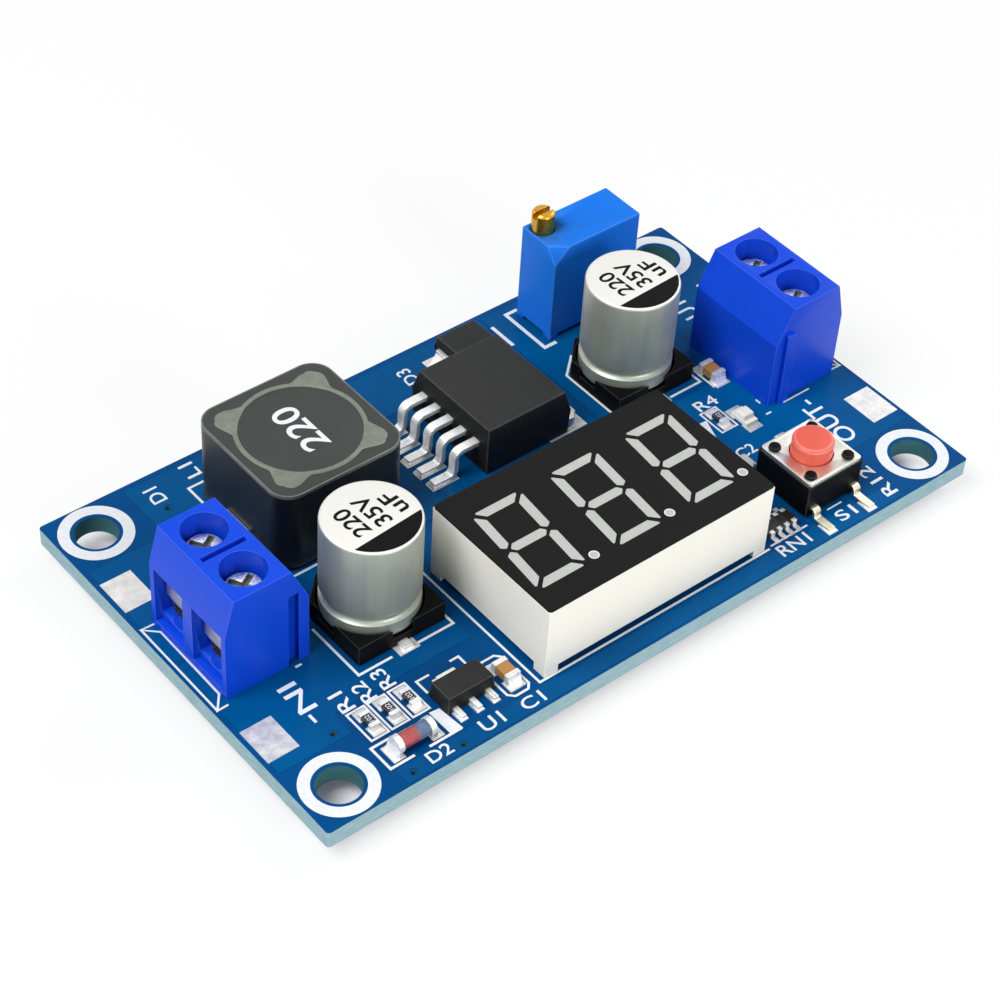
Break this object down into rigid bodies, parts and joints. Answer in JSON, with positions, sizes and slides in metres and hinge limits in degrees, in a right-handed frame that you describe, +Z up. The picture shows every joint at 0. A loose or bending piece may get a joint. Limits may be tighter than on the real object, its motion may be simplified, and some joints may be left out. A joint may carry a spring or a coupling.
{
  "type": "boost converter module",
  "caption": "Adjustable step-up converter module on a drilled circuit board, with screw terminals, trimmer, inductor, capacitors, push switch and a segment voltmeter display.",
  "frame": {"origin": "under the middle of the board, level with the tips of the trimmed pins it stands on", "axes": "+X from the input terminal to the output terminal, +Y from the display's edge of the board to the trimmer's edge, +Z up out of the component side"},
  "size_m": [0.066, 0.0384, 0.0148],
  "materials": {
    "solder_mask": "glossy solder mask on glass laminate",
    "tinned_metal": "satin tin",
    "terminal_blue": "smooth moulding",
    "clamp_steel": "plated steel",
    "guard_steel": "plated sheet",
    "screw_steel": "bright plating",
    "trimmer_blue": "smooth moulding",
    "trimmer_brass": "turned",
    "ferrite": "dull sintered",
    "winding_copper": "enamelled wire",
    "adhesive_grey": "set adhesive",
    "moulding_black": "fine matt moulding",
    "base_black": "matt moulding",
    "can_aluminium": "satin drawn",
    "display_white": "smooth moulding",
    "display_black": "matt print",
    "segment_diffuser": "cast resin",
    "backing_green": "laminate",
    "switch_steel": "satin plated",
    "button_red": "smooth moulding",
    "ceramic_tan": "fired ceramic",
    "resistor_black": "overglazed ceramic",
    "diode_glass": "clear glass",
    "indicator_white": "laminate",
    "indicator_clear": "cast resin"
  },
  "bodies": {
    "module": {"circuit_board": "solder_mask", "solder_lands": "tinned_metal", "pin_solder": "tinned_metal", "trimmer_pins": "tinned_metal", "display_pins": "tinned_metal", "inductor_terminals": "tinned_metal", "converter_leads": "tinned_metal", "converter_tab": "tinned_metal", "diode_terminals": "tinned_metal", "input_capacitor_leads": "tinned_metal", "output_capacitor_leads": "tinned_metal", "meter_chip_leads": "tinned_metal", "switch_legs": "tinned_metal", "regulator_leads": "tinned_metal", "ceramic_capacitor_ends": "tinned_metal", "chip_resistor_ends": "tinned_metal", "zener_caps": "tinned_metal", "resistor_array_ends": "tinned_metal", "input_terminal_housing": "terminal_blue", "output_terminal_housing": "terminal_blue", "input_clamp_cages": "clamp_steel", "output_clamp_cages": "clamp_steel", "trimmer_case": "trimmer_blue", "inductor_shield": "ferrite", "inductor_drum": "ferrite", "inductor_winding": "winding_copper", "inductor_adhesive": "adhesive_grey", "converter_body": "moulding_black", "diode_body": "moulding_black", "regulator_body": "moulding_black", "meter_chip_body": "moulding_black", "switch_base": "moulding_black", "input_capacitor_base": "base_black", "output_capacitor_base": "base_black", "input_capacitor_can": "can_aluminium", "output_capacitor_can": "can_aluminium", "display_housing": "display_white", "display_face": "display_black", "display_segments": "segment_diffuser", "display_backing": "backing_green", "switch_cover": "switch_steel", "switch_dome": "switch_steel", "ceramic_capacitor_bodies": "ceramic_tan", "chip_resistor_bodies": "resistor_black", "resistor_array_body": "resistor_black", "zener_glass": "diode_glass", "indicator_base": "indicator_white", "indicator_lens": "indicator_clear"},
    "input_guard_positive": {"input_wire_guard_positive": "guard_steel"},
    "input_screw_positive": {"input_clamp_screw_positive": "screw_steel"},
    "input_guard_negative": {"input_wire_guard_negative": "guard_steel"},
    "input_screw_negative": {"input_clamp_screw_negative": "screw_steel"},
    "output_guard_positive": {"output_wire_guard_positive": "guard_steel"},
    "output_screw_positive": {"output_clamp_screw_positive": "screw_steel"},
    "output_guard_negative": {"output_wire_guard_negative": "guard_steel"},
    "output_screw_negative": {"output_clamp_screw_negative": "screw_steel"},
    "button": {"switch_button": "button_red"},
    "adjuster": {"trimmer_screw": "trimmer_brass"}
  },
  "joints": [
    {"name": "input_clamp_lift_positive", "type": "slide", "parent": "module", "child": "input_guard_positive", "axis": [0, 0, 1], "range_m": [-0.00112, 0.0009]},
    {"name": "input_clamp_turn_positive", "type": "hinge", "parent": "input_guard_positive", "child": "input_screw_positive", "pos_m": [-0.02805, 0.0029, 0.0113], "axis": [0, 0, 1], "range_deg": [-903, 723]},
    {"name": "input_clamp_lift_negative", "type": "slide", "parent": "module", "child": "input_guard_negative", "axis": [0, 0, 1], "range_m": [-0.00112, 0.0009]},
    {"name": "input_clamp_turn_negative", "type": "hinge", "parent": "input_guard_negative", "child": "input_screw_negative", "pos_m": [-0.02805, -0.0021, 0.0113], "axis": [0, 0, 1], "range_deg": [-903, 723]},
    {"name": "output_clamp_lift_positive", "type": "slide", "parent": "module", "child": "output_guard_positive", "axis": [0, 0, 1], "range_m": [-0.00112, 0.0009]},
    {"name": "output_clamp_turn_positive", "type": "hinge", "parent": "output_guard_positive", "child": "output_screw_positive", "pos_m": [0.02805, 0.0029, 0.0113], "axis": [0, 0, 1], "range_deg": [-903, 723]},
    {"name": "output_clamp_lift_negative", "type": "slide", "parent": "module", "child": "output_guard_negative", "axis": [0, 0, 1], "range_m": [-0.00112, 0.0009]},
    {"name": "output_clamp_turn_negative", "type": "hinge", "parent": "output_guard_negative", "child": "output_screw_negative", "pos_m": [0.02805, -0.0021, 0.0113], "axis": [0, 0, 1], "range_deg": [-903, 723]},
    {"name": "button_press", "type": "slide", "parent": "module", "child": "button", "axis": [0, 0, -1], "range_m": [0, 0.00025], "stiffness_N_per_m": 4000},
    {"name": "adjuster_turn", "type": "hinge", "parent": "module", "child": "adjuster", "pos_m": [0.01557, 0.01613, 0.0129], "axis": [0, 0, 1], "continuous": true}
  ],
  "couplings": [
    {"joint": "input_clamp_turn_positive", "follows": "input_clamp_lift_positive", "rad_per_m": 13963},
    {"joint": "input_clamp_turn_negative", "follows": "input_clamp_lift_negative", "rad_per_m": 13963},
    {"joint": "output_clamp_turn_positive", "follows": "output_clamp_lift_positive", "rad_per_m": 13963},
    {"joint": "output_clamp_turn_negative", "follows": "output_clamp_lift_negative", "rad_per_m": 13963}
  ]
}
